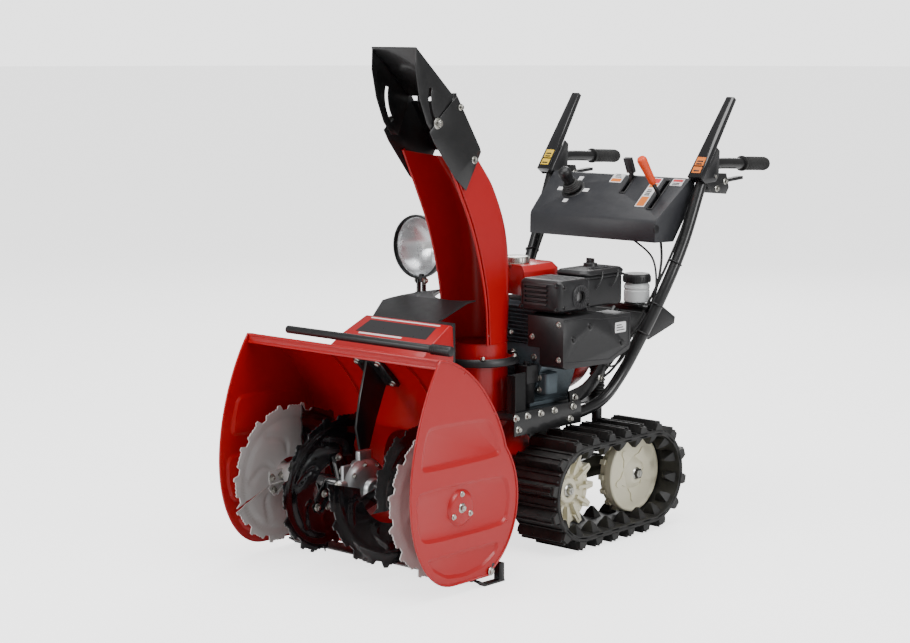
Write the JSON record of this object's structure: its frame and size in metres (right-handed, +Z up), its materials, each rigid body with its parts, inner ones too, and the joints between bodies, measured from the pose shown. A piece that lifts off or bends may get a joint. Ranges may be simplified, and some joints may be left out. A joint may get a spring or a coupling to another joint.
{
  "type": "two-stage snowblower",
  "caption": "Self-propelled snowblower on rubber tracks, with counter-rotating toothed augers, an impeller, a turning chute, lamp, engine and handlebar console.",
  "frame": {"origin": "on the ground, in the middle of the length and width of the machine", "axes": "+Z up, -Y the way it drives, +X the left side as the operator sees it"},
  "size_m": [0.618, 1.408, 1.177],
  "materials": {
    "red_paint": "gloss red stove enamel",
    "black_paint": "satin black paint",
    "black_plastic": "fine-grained black plastic",
    "charcoal_plastic": "satin charcoal plastic",
    "silver_paint": "satin silver paint",
    "cast_alloy": "as-cast silver-painted alloy",
    "engine_alloy": "blue-grey painted casting",
    "rubber": "matt black rubber",
    "ivory_plastic": "ivory moulded nylon",
    "zinc_steel": "zinc-plated steel",
    "bare_steel": "worn bare steel",
    "lamp_glass": "clear ribbed lens",
    "orange_plastic": "orange-red grip over a black rod",
    "milky_plastic": "translucent white plastic"
  },
  "bodies": {
    "frame": {"auger_housing": "red_paint", "side_panel_left": "red_paint", "side_panel_right": "red_paint", "blower_casing": "red_paint", "scraper_blade": "bare_steel", "skid_shoe_left": "black_paint", "skid_shoe_right": "black_paint", "gearbox_stay": "black_paint", "auger_gearbox": "cast_alloy", "chute_ring": "black_plastic", "chute_drive": "black_plastic", "sign_cover": "red_paint", "belt_cover": "black_plastic", "headlight_post": "black_paint", "main_frame": "black_paint", "handle_tube_left": "black_paint", "handle_tube_right": "black_paint", "handle_crossbar": "black_paint", "rear_box": "black_plastic", "engine_block": "engine_alloy", "fan_shroud": "red_paint", "fuel_tank": "red_paint", "muffler_cover": "black_plastic", "engine_side_cover": "black_plastic", "air_cleaner_body": "black_plastic", "air_cleaner_lid": "black_plastic", "reservoir": "milky_plastic", "lift_boot": "rubber", "console": "charcoal_plastic", "grip_left": "rubber", "grip_right": "rubber"},
    "inner_augers": {"inner_auger_left": "black_paint", "inner_auger_right": "black_paint"},
    "outer_auger_left": {"outer_auger_left": "silver_paint"},
    "outer_auger_right": {"outer_auger_right": "silver_paint"},
    "impeller": {"impeller": "red_paint"},
    "chute": {"chute": "red_paint"},
    "deflector_lower": {"deflector_lower": "black_paint"},
    "deflector_upper": {"deflector_upper": "black_paint"},
    "headlight": {"headlight_bowl": "black_plastic", "headlight_lens": "lamp_glass"},
    "joystick_gimbal": {"joystick_gimbal": "rubber"},
    "joystick": {"joystick": "black_plastic"},
    "throttle_lever": {"throttle_lever": "black_plastic"},
    "shift_lever": {"shift_lever": "orange_plastic"},
    "clutch_lever_left": {"clutch_lever_left": "black_plastic"},
    "clutch_lever_right": {"clutch_lever_right": "black_plastic"},
    "steering_lever_left": {"steering_lever_left": "black_plastic"},
    "steering_lever_right": {"steering_lever_right": "black_plastic"},
    "track_chassis": {"track_frame": "black_paint", "track_left": "rubber", "track_right": "rubber"},
    "drive_sprocket_left": {"drive_sprocket_left": "ivory_plastic"},
    "drive_sprocket_right": {"drive_sprocket_right": "ivory_plastic"},
    "idler_wheel_left": {"idler_wheel_left": "ivory_plastic"},
    "idler_wheel_right": {"idler_wheel_right": "ivory_plastic"},
    "lift_cylinder": {"lift_cylinder": "black_paint"},
    "fuel_cap": {"fuel_cap": "zinc_steel"},
    "reservoir_cap": {"reservoir_cap": "black_plastic"},
    "clean_out_tool": {"clean_out_tool": "black_plastic"}
  },
  "joints": [
    {"name": "auger_spin", "type": "hinge", "parent": "frame", "child": "inner_augers", "pos_m": [0, -0.5355, 0.1895], "axis": [1, 0, 0], "continuous": true},
    {"name": "outer_auger_left_spin", "type": "hinge", "parent": "frame", "child": "outer_auger_left", "pos_m": [0, -0.5355, 0.1895], "axis": [1, 0, 0], "continuous": true},
    {"name": "outer_auger_right_spin", "type": "hinge", "parent": "frame", "child": "outer_auger_right", "pos_m": [0, -0.5355, 0.1895], "axis": [1, 0, 0], "continuous": true},
    {"name": "impeller_spin", "type": "hinge", "parent": "frame", "child": "impeller", "pos_m": [0, -0.146, 0.1895], "axis": [0, 1, 0], "continuous": true},
    {"name": "chute_turn", "type": "hinge", "parent": "frame", "child": "chute", "pos_m": [0, -0.146, 0.44], "axis": [0, 0, 1], "range_deg": [-105, 105]},
    {"name": "deflector_lower_tilt", "type": "hinge", "parent": "chute", "child": "deflector_lower", "pos_m": [0, -0.201, 0.937], "axis": [1, 0, 0], "range_deg": [0, 30]},
    {"name": "deflector_upper_tilt", "type": "hinge", "parent": "deflector_lower", "child": "deflector_upper", "pos_m": [0, -0.286, 1.066], "axis": [1, 0, 0], "range_deg": [0, 36]},
    {"name": "headlight_tilt", "type": "hinge", "parent": "frame", "child": "headlight", "pos_m": [-0.213, -0.11, 0.606], "axis": [1, 0, 0], "range_deg": [-12, 12]},
    {"name": "joystick_fore_aft", "type": "hinge", "parent": "frame", "child": "joystick_gimbal", "pos_m": [-0.115, 0.3589, 0.8064], "axis": [1, 0, 0], "range_deg": [-18, 18], "stiffness_Nm_per_rad": 0.6},
    {"name": "joystick_side", "type": "hinge", "parent": "joystick_gimbal", "child": "joystick", "pos_m": [-0.115, 0.3589, 0.8064], "axis": [0, 0.7815, 0.6239], "range_deg": [-18, 18], "stiffness_Nm_per_rad": 0.6},
    {"name": "throttle_swing", "type": "hinge", "parent": "frame", "child": "throttle_lever", "pos_m": [0.042, 0.3995, 0.80043], "axis": [1, 0, 0], "range_deg": [0, 66]},
    {"name": "shift_swing", "type": "hinge", "parent": "frame", "child": "shift_lever", "pos_m": [0.157, 0.3851, 0.77358], "axis": [1, 0, 0], "range_deg": [-42, 42]},
    {"name": "clutch_lever_left_squeeze", "type": "hinge", "parent": "frame", "child": "clutch_lever_left", "pos_m": [0, 0.453, 0.853], "axis": [-1, 0, 0], "range_deg": [0, 42], "stiffness_Nm_per_rad": 4, "springref_deg": -28.65},
    {"name": "steering_lever_left_squeeze", "type": "hinge", "parent": "frame", "child": "steering_lever_left", "pos_m": [0, 0.502, 0.838], "axis": [1, 0, 0], "range_deg": [0, 7], "stiffness_Nm_per_rad": 4, "springref_deg": -11.46},
    {"name": "clutch_lever_right_squeeze", "type": "hinge", "parent": "frame", "child": "clutch_lever_right", "pos_m": [0, 0.453, 0.853], "axis": [-1, 0, 0], "range_deg": [0, 42], "stiffness_Nm_per_rad": 4, "springref_deg": -28.65},
    {"name": "steering_lever_right_squeeze", "type": "hinge", "parent": "frame", "child": "steering_lever_right", "pos_m": [0, 0.502, 0.838], "axis": [1, 0, 0], "range_deg": [0, 7], "stiffness_Nm_per_rad": 4, "springref_deg": -11.46},
    {"name": "track_pitch", "type": "hinge", "parent": "frame", "child": "track_chassis", "pos_m": [0, -0.056, 0.135], "axis": [1, 0, 0], "range_deg": [-3, 5]},
    {"name": "lift_slide", "type": "slide", "parent": "frame", "child": "lift_cylinder", "axis": [0, 0, 1], "range_m": [-0.0135, 0.0225], "deforming": ["lift_boot"]},
    {"name": "drive_sprocket_left_spin", "type": "hinge", "parent": "track_chassis", "child": "drive_sprocket_left", "pos_m": [0, -0.056, 0.135], "axis": [1, 0, 0], "continuous": true},
    {"name": "idler_wheel_left_spin", "type": "hinge", "parent": "track_chassis", "child": "idler_wheel_left", "pos_m": [0, 0.208, 0.135], "axis": [1, 0, 0], "continuous": true},
    {"name": "drive_sprocket_right_spin", "type": "hinge", "parent": "track_chassis", "child": "drive_sprocket_right", "pos_m": [0, -0.056, 0.135], "axis": [1, 0, 0], "continuous": true},
    {"name": "idler_wheel_right_spin", "type": "hinge", "parent": "track_chassis", "child": "idler_wheel_right", "pos_m": [0, 0.208, 0.135], "axis": [1, 0, 0], "continuous": true},
    {"name": "fuel_cap_turn", "type": "hinge", "parent": "frame", "child": "fuel_cap", "pos_m": [-0.006, 0.004, 0.656], "axis": [0, 0, 1], "range_deg": [0, 90]},
    {"name": "reservoir_cap_turn", "type": "hinge", "parent": "frame", "child": "reservoir_cap", "pos_m": [0.15, 0.281, 0.597], "axis": [0, 0, 1], "range_deg": [0, 180]},
    {"name": "clean_out_tool_lift", "type": "slide", "parent": "frame", "child": "clean_out_tool", "axis": [0, 0, 1], "range_m": [0, 0.08]}
  ],
  "couplings": [
    {"joint": "outer_auger_left_spin", "follows": "auger_spin", "ratio": -1},
    {"joint": "outer_auger_right_spin", "follows": "auger_spin", "ratio": -1},
    {"joint": "impeller_spin", "follows": "auger_spin", "ratio": 10},
    {"joint": "idler_wheel_left_spin", "follows": "drive_sprocket_left_spin", "ratio": 1},
    {"joint": "idler_wheel_right_spin", "follows": "drive_sprocket_right_spin", "ratio": 1},
    {"joint": "lift_slide", "follows": "track_pitch", "m_per_rad": 0.252}
  ]
}
